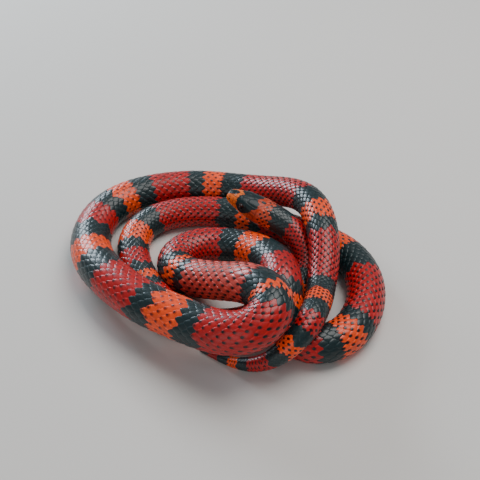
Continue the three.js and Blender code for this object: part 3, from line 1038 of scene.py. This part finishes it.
def eye(snake, name, side):
    """One eye as a fine ball in its socket."""
    centre, left, up = (v[0] for v in snake.frames(np.array([-EYE_X])))
    place = centre + left * EYE_Y * side + up * EYE_Z + snake.shift
    axis = left * side
    forward = np.cross(axis, up)
    polar = np.linspace(0, math.pi, EYE_RINGS + 1)[1:-1]
    turn = np.arange(EYE_SIDES) / EYE_SIDES * TURN
    polar, turn = np.meshgrid(polar, turn, indexing="ij")
    around = np.cos(turn)[..., None] * forward + np.sin(turn)[..., None] * up
    ball = np.cos(polar)[..., None] * axis + np.sin(polar)[..., None] * around
    verts = np.concatenate([ball.reshape(-1, 3), [axis, -axis]]) * EYE_RADIUS + place
    pole = len(verts) - 2
    faces = [
        grid_faces(EYE_RINGS - 1, EYE_SIDES, 0),
        fan_faces(pole, 0, EYE_SIDES, False),
        fan_faces(pole + 1, pole - EYE_SIDES, EYE_SIDES, True),
    ]
    piece = make_mesh(name, verts, faces)
    set_number(piece, "from_pupil", np.concatenate([polar.ravel(), [0, math.pi]]))
    return piece


class Finish:
    """A material being made, whose nodes lead to its shader."""

    def __init__(self, name):
        self.material = bpy.data.materials.new(name)
        self.material.use_nodes = True
        self.nodes = self.material.node_tree.nodes
        self.shader = self.nodes["Principled BSDF"]

    def feed(self, node, socket, value):
        """Gives a socket a number, a colour or another node's output."""
        if isinstance(value, bpy.types.NodeSocket):
            self.material.node_tree.links.new(value, node.inputs[socket])
        else:
            node.inputs[socket].default_value = value

    def stored(self, name, output="Fac"):
        """A value stored on the mesh."""
        node = self.nodes.new("ShaderNodeAttribute")
        node.attribute_name = name
        return node.outputs[output]

    def op(self, operation, *values, clamp=False):
        """One step of arithmetic on numbers or on other nodes' outputs."""
        node = self.nodes.new("ShaderNodeMath")
        node.operation = operation
        node.use_clamp = clamp
        for socket, value in enumerate(values):
            self.feed(node, socket, value)
        return node.outputs[0]

    def noise(self, scale):
        """Cloudy noise through the object, at a scale."""
        place = self.nodes.new("ShaderNodeTexCoord").outputs["Object"]
        node = self.nodes.new("ShaderNodeTexNoise")
        self.feed(node, "Vector", place)
        self.feed(node, "Scale", scale)
        self.feed(node, "Detail", NOISE_DETAIL)
        return node.outputs["Fac"]

    def mix(self, factor, first, second):
        """A mix of two colours, which the node keeps behind its sockets for numbers."""
        node = self.nodes.new("ShaderNodeMix")
        node.data_type = "RGBA"
        for socket, value in (("Factor", factor), (6, first), (7, second)):
            self.feed(node, socket, value)
        return node.outputs[2]

    def bump(self, height, strength, distance):
        """Fine relief in the shading."""
        node = self.nodes.new("ShaderNodeBump")
        self.feed(node, "Strength", strength)
        self.feed(node, "Distance", distance)
        self.feed(node, "Height", height)
        self.feed(self.shader, "Normal", node.outputs["Normal"])


def scale_finish(name, coat, shine):
    """Wet scales: ring colour, black tips, painted highlights on the rims, fine mottling and a clear
    gloss.
    """
    look = Finish(name)
    mottle = look.noise(MOTTLE_SCALE)
    blotch = look.noise(BLOTCH_SCALE)
    # A black oval on the hind tip, with an uneven edge and a brown halo
    spotted = look.stored("spotted")
    back = look.op("DIVIDE", look.op("SUBTRACT", look.stored("along"), TIP_AT), TIP_LENGTH)
    side = look.op("DIVIDE", look.stored("side"), TIP_WIDTH)
    reach = look.op("ADD", look.op("MULTIPLY", back, back), look.op("MULTIPLY", side, side))
    ragged = look.op("ADD", reach, look.op("MULTIPLY", look.op("SUBTRACT", mottle, 0.5), TIP_RAGGED))
    shown = look.op("MULTIPLY", spotted, TIP_SHOWN, clamp=True)
    halo = look.op("MULTIPLY", look.op("SUBTRACT", HALO_REACH, ragged), HALO_SHARPNESS, clamp=True)
    halo = look.op("MULTIPLY", look.op("MULTIPLY", halo, shown), HALO_STRENGTH)
    tip = look.op("SUBTRACT", look.op("MULTIPLY", spotted, TIP_REACH), ragged)
    tip = look.op("MULTIPLY", look.op("MULTIPLY", tip, TIP_SHARPNESS, clamp=True), shown)
    # Painted highlight: each scale pales towards its rim
    rim = look.op("SUBTRACT", look.stored("rim"), RIM_FROM)
    pale = look.op("MULTIPLY", rim, RIM_SHARPNESS, clamp=True)
    value = look.op("ADD", look.op("MULTIPLY", mottle, 0.5), look.op("MULTIPLY", blotch, 0.5))
    bright = look.op("ADD", look.op("MULTIPLY_ADD", value, *TONE), look.op("MULTIPLY", pale, RIM_HIGHLIGHT))
    vary = look.nodes.new("ShaderNodeHueSaturation")
    look.feed(vary, "Color", look.stored("tint", "Color"))
    look.feed(vary, "Value", bright)
    browned = look.mix(halo, vary.outputs["Color"], (*linear(HALO_TINT), 1))
    look.feed(look.shader, "Base Color", look.mix(tip, browned, (*linear(TIP_TINT), 1)))
    look.feed(look.shader, "Roughness", look.op("MULTIPLY_ADD", mottle, *ROUGHNESS))
    look.feed(look.shader, "Specular IOR Level", shine)
    look.feed(look.shader, "Coat Weight", coat)
    look.feed(look.shader, "Coat Roughness", COAT_ROUGHNESS)
    look.bump(look.noise(GRAIN_SCALE), *GRAIN)
    return look.material


def eye_finish():
    """Round black pupil in a dark red-brown iris, under a clear gloss."""
    look = Finish("eye")
    flecks = look.noise(FLECK_SCALE)
    edge = look.op("SUBTRACT", look.stored("from_pupil"), PUPIL)
    iris = look.op("MULTIPLY", edge, PUPIL_SHARPNESS, clamp=True)
    brown = look.mix(flecks, IRIS_DARK, IRIS_PALE)
    look.feed(look.shader, "Base Color", look.mix(iris, PUPIL_BLACK, brown))
    look.feed(look.shader, "Roughness", look.op("MULTIPLY_ADD", flecks, *EYE_ROUGHNESS))
    look.feed(look.shader, "Coat Weight", EYE_COAT)
    look.feed(look.shader, "Coat Roughness", EYE_COAT_ROUGHNESS)
    look.bump(flecks, *EYE_GRAIN)
    return look.material


def floor_finish():
    """Plain pale matt floor."""
    look = Finish("floor")
    look.feed(look.shader, "Base Color", FLOOR_COLOUR)
    look.feed(look.shader, "Roughness", FLOOR_ROUGHNESS)
    return look.material


def studio():
    """Pale floor and soft lights."""
    corners = [(-1, -1, 0), (1, -1, 0), (1, 1, 0), (-1, 1, 0)]
    floor = make_mesh("floor", np.array(corners) * FLOOR_HALF / MM, [np.array([[0, 1, 2, 3]])], False)
    floor.data.materials.append(floor_finish())
    floor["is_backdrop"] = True
    world = bpy.context.scene.world or bpy.data.worlds.new("studio")
    bpy.context.scene.world = world
    world.use_nodes = True
    background = world.node_tree.nodes["Background"]
    background.inputs["Color"].default_value = WORLD_COLOUR
    background.inputs["Strength"].default_value = WORLD_STRENGTH
    for name, place, size, power, colour in LIGHTS:
        data = bpy.data.lights.new(name, "AREA")
        data.shape = "RECTANGLE"
        data.size, data.size_y = size
        data.energy = power
        data.color = colour
        lamp = add_object(name, data)
        lamp.location = place
        lamp.rotation_euler = (-Vector(place)).to_track_quat("-Z", "Y").to_euler()


def camera(shift):
    """The camera, looking down at the photo's angle."""
    data = bpy.data.cameras.new("camera")
    data.lens = CAMERA_LENS
    data.sensor_width = CAMERA_SENSOR
    data.clip_start = CAMERA_NEAR
    view = add_object("camera", data)
    aim = Vector((np.array(AIM) + shift) * MM)
    ahead = Vector((0, math.cos(CAMERA_DOWN), -math.sin(CAMERA_DOWN)))
    view.location = aim - ahead * CAMERA_DISTANCE
    view.rotation_euler = ahead.to_track_quat("-Z", "Y").to_euler()
    bpy.context.scene.camera = view


def dress():
    """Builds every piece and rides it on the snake's one body."""
    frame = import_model()
    snake = Snake()
    snake.fit()
    camera(snake.shift)
    studio()
    rng = np.random.default_rng(SEED)
    under = skin(snake)
    coat = body_scales(snake, rng) + [belly_scutes(snake, rng), throat_scales(snake, rng)]
    head_gloss = scale_finish("head_shields", *HEAD_GLOSS)
    body_gloss = scale_finish("wet_scales", *BODY_GLOSS)
    for piece in [under] + coat:
        piece.data.materials.append(head_gloss if piece is under else body_gloss)
        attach(piece, "root")
    flesh = [name for name in frame["nodes"] if not name.startswith("eye")]
    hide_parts(*sorted(flesh))
    gloss = eye_finish()
    for name, node, side in (("eyeball_left", "eye_left", 1), ("eyeball_right", "eye_right", -1)):
        ball = eye(snake, name, side)
        ball.data.materials.append(gloss)
        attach(ball, "root")
        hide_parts(node)


dress()
